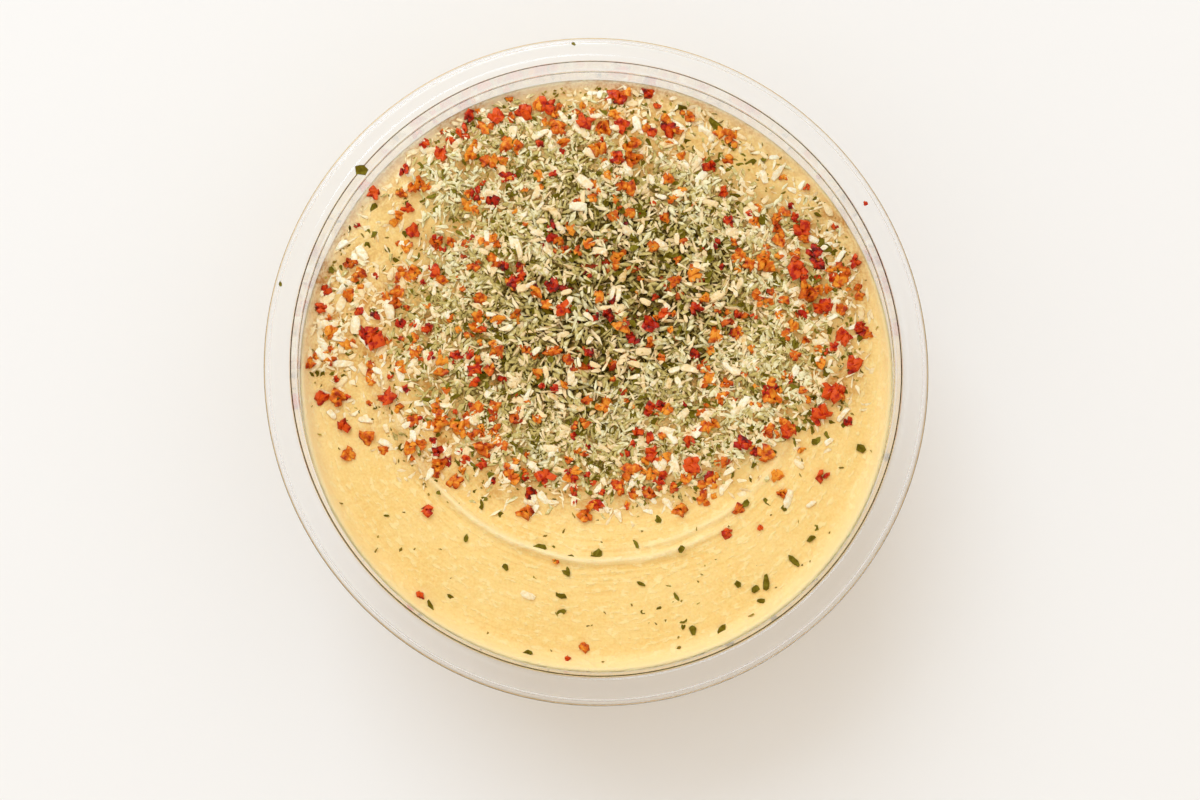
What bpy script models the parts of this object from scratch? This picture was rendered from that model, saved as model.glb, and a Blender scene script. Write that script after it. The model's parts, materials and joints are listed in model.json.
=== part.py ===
"""Hummus in a round clear tub: the tub, the swirled hummus that fills it and the bed of dried topping."""

from math import atan2, cos, degrees, exp, radians, sin, tan, tau

import bmesh
import bpy
from mathutils import Vector, noise

# Driving sizes, in metres. The tub stands on z = 0 with its axis along Z.
TUB_HEIGHT = 0.046
RIM_RADIUS = 0.0585  # to the outside of the turned-down rim
WALL = 0.0005
DRAFT = radians(8.2)  # how far the wall leans out
FILL_LEVEL = 0.036
FILL_RADIUS = 0.0520  # inside the wall, at the fill level
GAP = 0.0003  # between pieces that touch
SEGMENTS = 60

# The mouth: a snap bead, a round lip, a sloping rim and its turned-down edge.
BEAD_HEIGHT = 0.0411
BEAD_DEPTH = 0.00025
MOUTH_RADIUS = 0.0531
LIP_ROUND = 0.0007
RIM_DROP = 0.0026  # from the lip's top to the rim's shoulder
SHOULDER_ROUND = 0.0009
SKIRT_DEPTH = 0.0043  # from the lip's top to the rim's lower edge

# The base: a raised panel inside a foot ring, and a round heel under the wall.
PANEL_RISE = 0.0015
PANEL_RADIUS = 0.0385
FOOT_INNER_RADIUS = 0.0405
HEEL_ROUND = 0.0030

# The tub is slightly out of round at the top, widest along one diameter.
OVAL = 0.0090
OVAL_DIRECTION = radians(112)

# The hummus: a shallow dish inside one spiral ridge, grooves outside it, smeared up at the wall.
DISH_DEPTH = 0.0012
RIDGE_RADIUS = 0.0339
RIDGE_DRIFT = 0.0052  # how far the ridge's ring lies off the tub's axis
RIDGE_MIDDLE = radians(-105)
RIDGE_HEIGHT = 0.0008
RIDGE_HALF_WIDTH = 0.0009
GROOVE_PITCH = 0.0042
GROOVE_HEIGHT = 0.00015
SMEAR_RISE = 0.0005
SMEAR_WIDTH = 0.0016
INNER_RINGS = 8
OUTER_RINGS = 7
RIDGE_RINGS = (-2.6, -1.5, -0.7, 0.0, 0.7, 1.5, 2.6)  # in half widths of the ridge

# The topping bed: a low mound with an uneven outline, off the tub's centre.
BED_CENTRE = Vector((0.0050, 0.0125))
BED_RADIUS = 0.0300
BED_WAVES = ((2, 0.07, 0.6), (3, 0.05, 2.2), (5, 0.03, 4.1))  # count, share of the radius, phase
BED_EDGE = 0.0005
BED_MIDDLE = 0.0021
BED_LUMP = 0.00035
BED_LUMP_SIZE = 0.0060
BED_SEGMENTS = 48
BED_RINGS = 8


def clear_scene():
    for item in list(bpy.data.objects):
        bpy.data.objects.remove(item, do_unlink=True)


def finish(name, colour, roughness, transmission=0.0):
    """A plain material for one sub-part."""
    material = bpy.data.materials.new(name)
    material.use_nodes = True
    shader = material.node_tree.nodes["Principled BSDF"]
    shader.inputs["Base Color"].default_value = (*colour, 1.0)
    shader.inputs["Roughness"].default_value = roughness
    shader.inputs["Metallic"].default_value = 0.0
    shader.inputs["Transmission Weight"].default_value = transmission
    return material


def to_object(name, bm, material):
    """A mesh built in bmesh, as a named object with its own material, shaded smooth over its bends."""
    bmesh.ops.recalc_face_normals(bm, faces=bm.faces)
    mesh = bpy.data.meshes.new(name)
    bm.to_mesh(mesh)
    bm.free()
    mesh.materials.append(material)
    mesh.shade_smooth()
    mesh.set_sharp_from_angle(angle=radians(40))
    item = bpy.data.objects.new(name, mesh)
    bpy.context.scene.collection.objects.link(item)
    return item


def skin(bm, rings):
    """Faces between rings of vertices that follow one another; a ring of one vertex is a pole."""
    for lower, upper in zip(rings, rings[1:]):
        count = max(len(lower), len(upper))
        for i in range(count):
            j = (i + 1) % count
            below = [lower[i % len(lower)], lower[j % len(lower)]]
            above = [upper[j % len(upper)], upper[i % len(upper)]]
            bm.faces.new(list(dict.fromkeys(below + above)))


def out_of_round(radius, height, angle):
    """The tub's radius in one direction: round at the base, slightly oval at the mouth."""
    return radius * (1 + OVAL * height / TUB_HEIGHT * cos(2 * (angle - OVAL_DIRECTION)))


def turned_ring(bm, radius, height):
    """A ring of vertices about the tub's axis, or one vertex on it."""
    if radius < GAP:
        return [bm.verts.new((0, 0, height))]
    ring = []
    for i in range(SEGMENTS):
        angle = tau * i / SEGMENTS
        reach = out_of_round(radius, height, angle)
        ring.append(bm.verts.new((reach * cos(angle), reach * sin(angle), height)))
    return ring


def corner(centre_radius, centre_height, bend, start, end, steps):
    """The points of a round corner, from one angle in degrees to another."""
    angles = [radians(start + (end - start) * i / steps) for i in range(steps + 1)]
    return [(centre_radius + bend * cos(a), centre_height + bend * sin(a)) for a in angles]


def wall_middle(height):
    """The radius of the middle of the wall's thickness."""
    return FILL_RADIUS + WALL / 2 + (height - FILL_LEVEL) * tan(DRAFT)


def body_profile():
    """The middle of the tub's base and wall, from the axis out and up to the heel's top."""
    floor = WALL / 2
    lean = degrees(DRAFT)
    heel_top = floor + HEEL_ROUND
    heel_centre = wall_middle(heel_top) - HEEL_ROUND
    panel = [(0, floor + PANEL_RISE), (PANEL_RADIUS, floor + PANEL_RISE)]
    foot = [(FOOT_INNER_RADIUS, floor)]
    heel = corner(heel_centre, heel_top, HEEL_ROUND, -90, -lean, 4)
    return panel + foot + heel


def mouth_profile():
    """The middle of the wall's top, the lip, the sloping rim and its turned-down edge."""
    top = TUB_HEIGHT - WALL / 2
    rim = RIM_RADIUS - WALL / 2
    bead = BEAD_DEPTH * 2
    wall = [
        (wall_middle(BEAD_HEIGHT - bead), BEAD_HEIGHT - bead),
        (wall_middle(BEAD_HEIGHT) - BEAD_DEPTH, BEAD_HEIGHT),
        (wall_middle(BEAD_HEIGHT + bead), BEAD_HEIGHT + bead),
    ]
    lip = corner(MOUTH_RADIUS + WALL / 2 + LIP_ROUND, top - LIP_ROUND, LIP_ROUND, 175, 60, 4)
    shoulder = corner(
        rim - SHOULDER_ROUND, TUB_HEIGHT - RIM_DROP - SHOULDER_ROUND, SHOULDER_ROUND, 60, 0, 3
    )
    return wall + lip + shoulder + [(rim, TUB_HEIGHT - SKIRT_DEPTH)]


def beside(profile, distance):
    """The profile moved to the inside of the tub by a distance."""
    moved = []
    for i, (radius, height) in enumerate(profile):
        before = Vector(profile[max(i - 1, 0)])
        after = Vector(profile[min(i + 1, len(profile) - 1)])
        run = (after - before).normalized()
        moved.append((radius - run.y * distance, height + run.x * distance))
    return moved


def make_tub():
    """One thin formed wall from the base panel to the rim's edge, given its thickness."""
    bm = bmesh.new()
    skin(bm, [turned_ring(bm, radius, height) for radius, height in body_profile() + mouth_profile()])
    tub = to_object("tub", bm, finish("clear_plastic", (0.93, 0.94, 0.93), 0.06, 1.0))
    thick = tub.modifiers.new("wall", "SOLIDIFY")
    thick.thickness = WALL
    thick.offset = 0.0
    thick.use_even_offset = True
    return tub


def ridge_radius(angle):
    """Where the spiral ridge's crest lies: nearest the axis at its middle, opening towards its ends."""
    return RIDGE_RADIUS + RIDGE_DRIFT * (1 - cos(angle - RIDGE_MIDDLE))


def hummus_top(radius, angle):
    """The height of the hummus at one place."""
    crest = ridge_radius(angle)
    away = (radius - crest) / RIDGE_HALF_WIDTH
    strength = 0.5 + 0.5 * cos(angle - RIDGE_MIDDLE)
    height = FILL_LEVEL - DISH_DEPTH * max(0.0, 1 - (radius / crest) ** 2)
    height += RIDGE_HEIGHT * strength * exp(-away * away)
    if radius > crest:
        height += GROOVE_HEIGHT * strength * sin(tau * (radius - crest) / GROOVE_PITCH)
    edge = out_of_round(FILL_RADIUS, FILL_LEVEL, angle)
    return height + SMEAR_RISE * exp(-(edge - radius) / SMEAR_WIDTH)


def top_column(bm, angle):
    """The top's vertices in one direction, from the wall in: even rings, and close ones on the ridge."""
    crest = ridge_radius(angle)
    edge = out_of_round(FILL_RADIUS - GAP, FILL_LEVEL, angle)
    ridge = [crest + n * RIDGE_HALF_WIDTH for n in RIDGE_RINGS]
    inner = [ridge[0] * i / INNER_RINGS for i in range(1, INNER_RINGS)]
    outer = [ridge[-1] + (edge - ridge[-1]) * i / OUTER_RINGS for i in range(1, OUTER_RINGS + 1)]
    return [
        bm.verts.new((radius * cos(angle), radius * sin(angle), hummus_top(radius, angle)))
        for radius in reversed(inner + ridge + outer)
    ]


def make_hummus():
    """The dip, filling the tub to a swirled top that is open to the air."""
    bm = bmesh.new()
    inside = beside(body_profile(), WALL / 2 + GAP)
    rings = [turned_ring(bm, radius, height) for radius, height in inside]
    columns = [top_column(bm, tau * i / SEGMENTS) for i in range(SEGMENTS)]
    rings += [list(ring) for ring in zip(*columns)]
    rings.append([bm.verts.new((0, 0, hummus_top(0, 0)))])
    skin(bm, rings)
    return to_object("hummus", bm, finish("hummus_paste", (0.83, 0.68, 0.36), 0.55))


def bed_outline(angle):
    """The bed's reach from its own centre in one direction."""
    return BED_RADIUS * (1 + sum(share * sin(count * angle + phase) for count, share, phase in BED_WAVES))


def bed_thickness(x, y, share):
    """The bed's depth at a place a given share of the way out to its edge."""
    lump = noise.noise(Vector((x, y, 0)) / BED_LUMP_SIZE)
    inner = 1 - share * share
    return BED_EDGE + (BED_MIDDLE - BED_EDGE) * inner + BED_LUMP * lump * inner


def bed_ring(bm, share, on_top):
    """One ring of the bed's top or underside, which follows the hummus a small gap above it."""
    ring = []
    for i in range(BED_SEGMENTS if share else 1):
        angle = tau * i / BED_SEGMENTS
        reach = share * bed_outline(angle)
        spot = BED_CENTRE + Vector((reach * cos(angle), reach * sin(angle)))
        height = hummus_top(spot.length, atan2(spot.y, spot.x)) + 2 * GAP
        if on_top:
            height += bed_thickness(spot.x, spot.y, share)
        ring.append(bm.verts.new((spot.x, spot.y, height)))
    return ring


def make_topping_bed():
    """The heap of small dried pieces, out to its uneven outline."""
    bm = bmesh.new()
    shares = [i / BED_RINGS for i in range(BED_RINGS + 1)]
    rings = [bed_ring(bm, share, False) for share in shares]
    rings += [bed_ring(bm, share, True) for share in reversed(shares)]
    skin(bm, rings)
    return to_object("topping_bed", bm, finish("dried_topping", (0.62, 0.58, 0.36), 0.8))


clear_scene()
make_tub()
make_hummus()
make_topping_bed()
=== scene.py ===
"""Hummus in a clear round tub, its swirled top scattered with dried onion, pepper and herbs.

The tub, the dip and each kind of dried bit are made by an operator of their own, in the part's own frame.
"""

import json
import random
from math import atan2, cos, degrees, exp, hypot, pi, radians, sin, tan, tau

import bmesh
import bpy
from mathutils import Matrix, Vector, noise

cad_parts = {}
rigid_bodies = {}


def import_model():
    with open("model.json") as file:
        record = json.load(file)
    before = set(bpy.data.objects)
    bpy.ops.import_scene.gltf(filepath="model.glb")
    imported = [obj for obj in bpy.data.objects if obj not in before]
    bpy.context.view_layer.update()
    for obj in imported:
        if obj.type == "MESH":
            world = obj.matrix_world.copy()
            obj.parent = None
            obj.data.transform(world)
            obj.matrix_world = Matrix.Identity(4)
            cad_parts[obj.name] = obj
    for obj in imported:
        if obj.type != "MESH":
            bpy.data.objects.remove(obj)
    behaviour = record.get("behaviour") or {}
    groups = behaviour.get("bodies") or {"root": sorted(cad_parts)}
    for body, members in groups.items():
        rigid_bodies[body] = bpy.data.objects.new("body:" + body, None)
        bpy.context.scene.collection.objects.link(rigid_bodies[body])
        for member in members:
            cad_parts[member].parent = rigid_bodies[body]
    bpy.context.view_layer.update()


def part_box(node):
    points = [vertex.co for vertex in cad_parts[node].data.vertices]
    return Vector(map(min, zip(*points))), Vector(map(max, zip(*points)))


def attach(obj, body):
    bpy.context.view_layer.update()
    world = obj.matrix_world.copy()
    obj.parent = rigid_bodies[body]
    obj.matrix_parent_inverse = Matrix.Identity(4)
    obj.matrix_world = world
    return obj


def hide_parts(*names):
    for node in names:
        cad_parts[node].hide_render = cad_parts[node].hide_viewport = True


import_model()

bl_info = {
    "name": "Tub of Hummus",
    "version": (1, 0, 0),
    "blender": (4, 5, 0),
    "location": "3D View > Sidebar > Hummus",
    "description": "Makes a clear tub of swirled hummus with a dried onion, pepper and herb topping",
    "category": "Add Mesh",
}

TUB_LOW, TUB_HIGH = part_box("tub")
MM = 0.001

# The tub's main sizes come from the frame; it is slightly oval at the top, widest along one diameter.
TUB_HEIGHT = TUB_HIGH.z
RIM_RADIUS = (TUB_HIGH.x - TUB_LOW.x + TUB_HIGH.y - TUB_LOW.y) / 4
OVAL = 0.0090
OVAL_DIRECTION = radians(112)
FILL_LEVEL = 36.0 * MM
FILL_RADIUS = 52.0 * MM
MOUTH_RADIUS = 53.1 * MM
INTO_WALL = 0.12 * MM  # how far the dip reaches into the plastic, so that no air shows between them
TOP_STARTS = 33.5 * MM  # below this the dip only shows through the wall
DRAFT = radians(8.2)


# ---------------------------------------------------------------- properties


def length(name, description, default):
    return bpy.props.FloatProperty(name=name, description=description, default=default, unit="LENGTH")


def angle(name, description, default):
    return bpy.props.FloatProperty(name=name, description=description, default=default, subtype="ANGLE")


def tint(name, description, default):
    return bpy.props.FloatVectorProperty(
        name=name, description=description, default=default, subtype="COLOR", size=3
    )


class TubSizes(bpy.types.PropertyGroup):
    """The clear tub."""

    wall: length("Wall", "Thickness of the plastic", 0.30 * MM)
    segments: bpy.props.IntProperty(name="Segments", description="Steps round the tub", default=360)
    panel_rise: length("Panel Rise", "How far the base panel stands up", 1.5 * MM)
    bead_height: length("Bead Height", "Height of the snap bead in the wall", 41.1 * MM)
    bead_depth: length("Bead Depth", "How far the snap bead stands in", 0.14 * MM)
    flange: length("Flange", "Width of the trimmed edge below the rim", 0.9 * MM)
    clear: tint("Clear", "Tint of the plastic", (1.0, 1.0, 0.995))


class HummusLook(bpy.types.PropertyGroup):
    """The dip and its swirl."""

    rings: bpy.props.IntProperty(name="Rings", description="Rings of faces in the top", default=128)
    paste: tint("Paste", "Colour of the dip", (0.94, 0.665, 0.24))
    pale: tint("Pale Grain", "Colour of its pale grains", (1.0, 0.80, 0.38))
    # Partly painted shade: this darker paste lies where the grain's bump is lowest.
    deep: tint("Deep Paste", "Colour in its hollows", (0.88, 0.56, 0.165))
    ridge: length("Ridge", "Height of the swirl's ridge", 1.5 * MM)
    dish: length("Dish", "How far the middle lies below the edge", 1.2 * MM)
    grain: length("Grain", "Height of the coarse grain", 0.10 * MM)


class ToppingMix(bpy.types.PropertyGroup):
    """The dried topping."""

    heap: length("Heap", "Depth of the bed at its middle", 1.5 * MM)
    onion: tint("Onion", "Colour of the onion slivers", (0.94, 0.72, 0.38))
    green_onion: tint("Green Onion", "Colour of the fine slivers", (0.62, 0.49, 0.155))
    pepper: tint("Pepper", "Colour of the red pepper bits", (0.46, 0.014, 0.002))
    carrot: tint("Orange Pepper", "Colour of the orange bits", (0.68, 0.125, 0.005))
    herb: tint("Herb", "Colour of the herb flakes", (0.135, 0.095, 0.003))


class StageLook(bpy.types.PropertyGroup):
    """The camera, the lights and the pale table."""

    floor: tint("Table", "Colour of the table", (0.865, 0.855, 0.83))
    lens: bpy.props.FloatProperty(name="Lens", description="Focal length in millimetres", default=52.14)
    reach: length("Reach", "Camera height above the tub's lip", 298 * MM)
    lean: angle("Lean", "How far the view leans off the tub's axis", radians(6.8))
    lift: angle("Lift", "How far the tub lies above the view's middle", radians(1.22))


# ---------------------------------------------------------------- node wiring


class Wire:
    """A socket in a node tree that can be used in arithmetic: each operator adds a Math node."""

    def __init__(self, tree, socket):
        self.tree = tree
        self.socket = socket

    def math(self, operation, *values):
        return self.tree.add("ShaderNodeMath", {"operation": operation}, dict(enumerate((self,) + values)))

    def __add__(self, other):
        return self.math("ADD", other)

    def __mul__(self, other):
        return self.math("MULTIPLY", other)

    def __sub__(self, other):
        return self.math("SUBTRACT", other)

    def __rsub__(self, other):
        return self.tree.add("ShaderNodeMath", {"operation": "SUBTRACT"}, {0: other, 1: self})

    __radd__ = __add__
    __rmul__ = __mul__

    def clamped(self):
        return self.tree.add("ShaderNodeMath", {"operation": "ADD", "use_clamp": True}, {0: self, 1: 0.0})


class Tree:
    """A shader or geometry node tree that is built with one method."""

    def __init__(self, tree):
        self.tree = tree

    def node(self, kind, settings=None, inputs=None):
        """Adds a node: its settings first, then the values or links of its sockets."""
        node = self.tree.nodes.new(kind)
        for name, value in (settings or {}).items():
            if name == "stops":
                self.set_stops(node.color_ramp, value)
            else:
                setattr(node, name, value)
        for name, value in (inputs or {}).items():
            if isinstance(value, Wire):
                self.tree.links.new(value.socket, node.inputs[name])
            else:
                node.inputs[name].default_value = value
        return node

    def add(self, kind, settings=None, inputs=None, output=0):
        """Adds a node and returns one of its outputs."""
        return Wire(self, self.node(kind, settings, inputs).outputs[output])

    @staticmethod
    def set_stops(ramp, stops):
        while len(ramp.elements) < len(stops):
            ramp.elements.new(1.0)
        for element, (place, colour) in zip(ramp.elements, stops):
            element.position = place
            element.color = (*colour, 1.0) if len(colour) == 3 else colour

    def blend(self, share, first, second):
        """A colour between two colours."""
        first, second = (c if isinstance(c, Wire) else (*c, 1.0) for c in (first, second))
        return self.add("ShaderNodeMix", {"data_type": "RGBA"}, {0: share, 6: first, 7: second}, output=2)

    def steps(self, value, low, high):
        """A smooth mask that rises from 0 to 1 between two values."""
        settings = {"interpolation_type": "SMOOTHSTEP"}
        return self.add("ShaderNodeMapRange", settings, {"Value": value, "From Min": low, "From Max": high})


class Finish(Tree):
    """A material with one Principled shader, whose constants are set on its own sockets."""

    def __init__(self, name):
        self.material = bpy.data.materials.new(name)
        self.material.use_nodes = True
        super().__init__(self.material.node_tree)
        self.shader = self.tree.nodes["Principled BSDF"]
        self.output = self.tree.nodes["Material Output"]
        self.place = Wire(self, self.tree.nodes.new("ShaderNodeTexCoord").outputs["Object"])

    def set(self, **inputs):
        for name, value in inputs.items():
            socket = self.shader.inputs[name.replace("_", " ").title().replace("Ior", "IOR")]
            if isinstance(value, Wire):
                self.tree.links.new(value.socket, socket)
            elif isinstance(value, (tuple, list)) and len(value) == 3 and socket.type == "RGBA":
                socket.default_value = (*value, 1.0)
            else:
                socket.default_value = value

    def noise(self, size, detail=2.0, roughness=0.5, at=None):
        """A noise whose features are about a given size across."""
        inputs = {"Vector": at or self.place, "Scale": 1 / size, "Detail": detail, "Roughness": roughness}
        return self.add("ShaderNodeTexNoise", {}, inputs)

    def vector(self, operation, first, second):
        return self.add("ShaderNodeVectorMath", {"operation": operation}, {0: first, 1: second})

    def attribute(self, name):
        return self.add("ShaderNodeAttribute", {"attribute_name": name}, {}, output=2)

    def bump(self, height, distance, strength=1.0, normal=None):
        inputs = {"Height": height, "Distance": distance, "Strength": strength}
        if normal:
            inputs["Normal"] = normal
        return self.add("ShaderNodeBump", {}, inputs)


# ---------------------------------------------------------------- meshes


def to_object(name, bm, material=None, crease=None):
    """A finished bmesh as an object at the origin, smooth except at creases, with its faces pointing out."""
    bmesh.ops.recalc_face_normals(bm, faces=bm.faces)
    mesh = bpy.data.meshes.new(name)
    bm.to_mesh(mesh)
    bm.free()
    mesh.shade_smooth()
    if crease:
        mesh.set_sharp_from_angle(angle=radians(crease))
    if material:
        mesh.materials.append(material)
    piece = bpy.data.objects.new(name, mesh)
    bpy.context.scene.collection.objects.link(piece)
    return piece


def settle(piece, slot, *nodes):
    """Rides a finished piece on the part's one body, in place of CAD nodes where it stands for them."""
    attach(piece, "root")
    if nodes:
        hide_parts(*nodes)


def skin(bm, rings):
    """Faces between rings of vertices that follow one another; a ring of one vertex is a pole."""
    for lower, upper in zip(rings, rings[1:]):
        count = max(len(lower), len(upper))
        for i in range(count):
            j = (i + 1) % count
            below = [lower[i % len(lower)], lower[j % len(lower)]]
            above = [upper[j % len(upper)], upper[i % len(upper)]]
            bm.faces.new(list(dict.fromkeys(below + above)))


def disc(bm, rings, place):
    """A disc of even faces: ring k has eight times k vertices, so faces are about as wide as deep."""
    made = [[bm.verts.new(place(0.0, 0.0))]]
    for k in range(1, rings + 1):
        made.append([bm.verts.new(place(k / rings, tau * i / (8 * k))) for i in range(8 * k)])
    for k in range(1, rings + 1):
        inner, outer = made[k - 1], made[k]
        middle = k // 2
        for i in range(8 * k):
            sector, step = divmod(i, k)
            first = sector * (k - 1) + step
            near = [first] if step == middle else [first + 1, first] if step < middle else [first, first - 1]
            bm.faces.new([outer[i], outer[(i + 1) % len(outer)]] + [inner[n % len(inner)] for n in near])
    return made


def out_of_round(radius, height, angle):
    return radius * (1 + OVAL * height / TUB_HEIGHT * cos(2 * (angle - OVAL_DIRECTION)))


def turned_ring(bm, radius, height, segments):
    """A ring of vertices about the tub's axis, or one vertex on it."""
    if radius < 0.1 * MM:
        return [bm.verts.new((0, 0, height))]
    ring = []
    for i in range(segments):
        angle = tau * i / segments
        reach = out_of_round(radius, height, angle)
        ring.append(bm.verts.new((reach * cos(angle), reach * sin(angle), height)))
    return ring


def corner(centre_radius, centre_height, bend, start, end, steps):
    """The points of a round corner, from one angle in degrees to another."""
    angles = [radians(start + (end - start) * i / steps) for i in range(steps + 1)]
    return [(centre_radius + bend * cos(a), centre_height + bend * sin(a)) for a in angles]


def wall_radius(height):
    """The radius of the tub's inner face."""
    return FILL_RADIUS + (height - FILL_LEVEL) * tan(DRAFT)


def rim_height(radius):
    """The height of the lip and of the rim that slopes away outside it."""
    return TUB_HEIGHT - 0.15 * MM - max(0.0, radius - MOUTH_RADIUS - 1.5 * MM) * tan(radians(90 - RIM_SLOPE))


def beside(profile, distance):
    """A profile of radii and heights moved to its left by a distance."""
    moved = []
    for i, point in enumerate(profile):
        before = Vector(profile[max(i - 1, 0)])
        after = Vector(profile[min(i + 1, len(profile) - 1)])
        run = (after - before).normalized()
        moved.append((point[0] - run.y * distance, point[1] + run.x * distance))
    return moved


# ---------------------------------------------------------------- the surface of the dip


CREST_RADIUS = 33.9 * MM
CREST_DRIFT = 5.2 * MM  # how far the ridge's ring lies off the tub's axis
CREST_MIDDLE = radians(-105)
CREST_HALF_WIDTH = 0.65 * MM
SECOND_CREST = -2.0 * MM  # a lower ridge inside the first, on its right
SECOND_MIDDLE = radians(-52)
CREST_TROUBLE = 5.0 * MM  # how far from the ridge the surface is still drawn into streaks
SMEAR_RISE = 4.4 * MM  # how far up the wall the paste is smeared where it is smeared most
SMEAR_WIDTH = 0.45 * MM
# The side nearest the lamp, where the paste at the wall gets its palest painted light.
LIGHT_SIDE = radians(125)
BED_CENTRE = Vector((3.0 * MM, 12.0 * MM))
BED_REACH = 31.0 * MM


def patch(x, y, size, seed):
    """A smooth random value between about -1 and 1 that changes over a given size."""
    return noise.noise(Vector((x / size, y / size, seed)))


def crest_radius(angle):
    """Where the swirl's ridge lies."""
    return CREST_RADIUS + CREST_DRIFT * (1 - cos(angle - CREST_MIDDLE))


def bump_at(distance, half_width):
    return exp(-((distance / half_width) ** 2))


def swirl_at(x, y):
    """How strongly the swirl shows in one direction, and how far a place lies outside its ridge."""
    angle = atan2(y, x)
    crest = crest_radius(angle) + 0.35 * MM * patch(x, y, 9 * MM, 3.0)
    return 0.5 + 0.5 * cos(angle - CREST_MIDDLE), hypot(x, y) - crest


def crest_share(x, y):
    """The two ridges of the swirl at one place, from 0 beside them to 1 on them."""
    strength, away = swirl_at(x, y)
    second = max(0.0, cos(atan2(y, x) - SECOND_MIDDLE)) ** 6
    fading = min(1.0, max(0.0, 0.5 - 2.5 * (atan2(y, x) + 0.9)))
    first = strength**2 * bump_at(away, CREST_HALF_WIDTH) * fading
    return first + 0.6 * second * bump_at(away - SECOND_CREST, CREST_HALF_WIDTH)


def drawn_out(x, y):
    """How strongly the paste is drawn into streaks along the swirl."""
    strength, away = swirl_at(x, y)
    return strength * max(0.35, bump_at(away, 1.3 * CREST_TROUBLE))


def smear_height(angle):
    """How far the paste is smeared up the wall: most at the front, least at the back."""
    return SMEAR_RISE * min(1.0, max(0.25, 0.62 - 0.75 * sin(angle)))


def paste_height(x, y, look, fine=True):
    """The height of the dip at one place: a shallow dish, the swirl, and with fine its streaks and grain."""
    radius, angle = hypot(x, y), atan2(y, x)
    strength, away = swirl_at(x, y)
    height = FILL_LEVEL - look.dish * max(0.0, 1 - (radius / (radius - away)) ** 2)
    height += 0.30 * MM * patch(x, y, 16 * MM, 1.0)
    height += look.ridge * (0.75 + 0.5 * patch(x, y, 5 * MM, 8.0)) * crest_share(x, y)
    edge = out_of_round(FILL_RADIUS, FILL_LEVEL, angle)
    height += smear_height(angle) * exp((radius - edge) / SMEAR_WIDTH)
    if fine:
        calm = min(1.0, max(0.0, (edge - radius) / (3 * MM)))
        streak = noise.noise(Vector((away / (0.55 * MM), angle * 2.5, 5.0)))
        height += calm * 0.12 * MM * strength * bump_at(away, CREST_TROUBLE) * streak
        height += calm * look.grain * patch(x, y, 0.8 * MM, 2.0)
        height += calm * look.grain * max(0.0, patch(x, y, 1.5 * MM, 6.0))
    return height


def heap_share(x, y):
    """How deep the topping bed lies at one place, from 0 outside it to 1."""
    spot = Vector((x, y)) - BED_CENTRE
    angle = atan2(spot.y, spot.x)
    uneven = 0.10 * sin(2 * angle + 0.6) + 0.07 * sin(3 * angle + 2.2) + 0.05 * sin(5 * angle + 4.1)
    reach = BED_REACH * (1 + uneven)
    share = min(1.0, max(0.0, 1.25 * (1 - spot.length / reach)))
    return share * share * (3 - 2 * share)


# ---------------------------------------------------------------- the tub and the dip


PANEL_RADIUS = 38.2 * MM
FOOT_RADIUS = 41.0 * MM
FOOT_BEND = 0.8 * MM
HEEL_BEND = 2.75 * MM
LIP_BEND = 0.95 * MM
SHOULDER_BEND = 0.9 * MM
SHOULDER_DROP = 3.2 * MM  # from the lip's top to the middle of the shoulder's bend
SKIRT_BEND = 0.3 * MM
SKIRT_DROP = 3.9 * MM
RIM_SLOPE = 58  # degrees from level to the rim's outward normal


def tub_profile(sizes):
    """The inner face of the tub from the axis out, up the wall, over the lip and down the rim."""
    wall = sizes.wall
    panel = [(0, sizes.panel_rise + wall), (PANEL_RADIUS, sizes.panel_rise + wall)]
    slope = corner(PANEL_RADIUS, sizes.panel_rise + wall - FOOT_BEND, FOOT_BEND, 90, 40, 4)
    foot = corner(FOOT_RADIUS, wall + FOOT_BEND, FOOT_BEND, 220, 270, 4)
    heel_top = wall + HEEL_BEND
    heel = corner(wall_radius(heel_top) - HEEL_BEND, heel_top, HEEL_BEND, -90, -degrees(DRAFT), 8)
    bead = []
    for step in (-1.0, -0.6, -0.3, 0.0, 0.3, 0.6, 1.0):
        height = sizes.bead_height + step * MM
        bead.append((wall_radius(height) - sizes.bead_depth * cos(step * pi / 2) ** 2, height))
    lip = corner(MOUTH_RADIUS + LIP_BEND, TUB_HEIGHT - LIP_BEND, LIP_BEND, 176, RIM_SLOPE, 10)
    skirt_radius = RIM_RADIUS - sizes.flange
    shoulder_height = TUB_HEIGHT - SHOULDER_DROP
    shoulder = corner(skirt_radius - SHOULDER_BEND, shoulder_height, SHOULDER_BEND, RIM_SLOPE, 0, 6)
    foot_of_skirt = corner(skirt_radius + SKIRT_BEND, TUB_HEIGHT - SKIRT_DROP, SKIRT_BEND, 180, 270, 4)
    skirt = foot_of_skirt + [(RIM_RADIUS, TUB_HEIGHT - SKIRT_DROP - SKIRT_BEND)]
    return panel + slope[1:] + foot + heel + bead + lip + shoulder + skirt


def clear_plastic(sizes):
    """Thin clear plastic that lets lamps through to what is inside it."""
    finish = Finish("clear_plastic")
    finish.set(base_color=tuple(sizes.clear), roughness=0.06, ior=1.38, transmission_weight=1.0)
    waves = finish.noise(14 * MM, detail=1.0)
    finish.set(normal=finish.bump(waves, 0.05 * MM, strength=0.08))
    path = finish.tree.nodes.new("ShaderNodeLightPath")
    passing = finish.node("ShaderNodeBsdfTransparent", {}, {"Color": (0.97, 0.97, 0.965, 1.0)})
    either = finish.node("ShaderNodeMixShader")
    finish.tree.links.new(path.outputs["Is Shadow Ray"], either.inputs[0])
    finish.tree.links.new(finish.shader.outputs[0], either.inputs[1])
    finish.tree.links.new(passing.outputs[0], either.inputs[2])
    finish.tree.links.new(either.outputs[0], finish.output.inputs["Surface"])
    return finish.material


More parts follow.
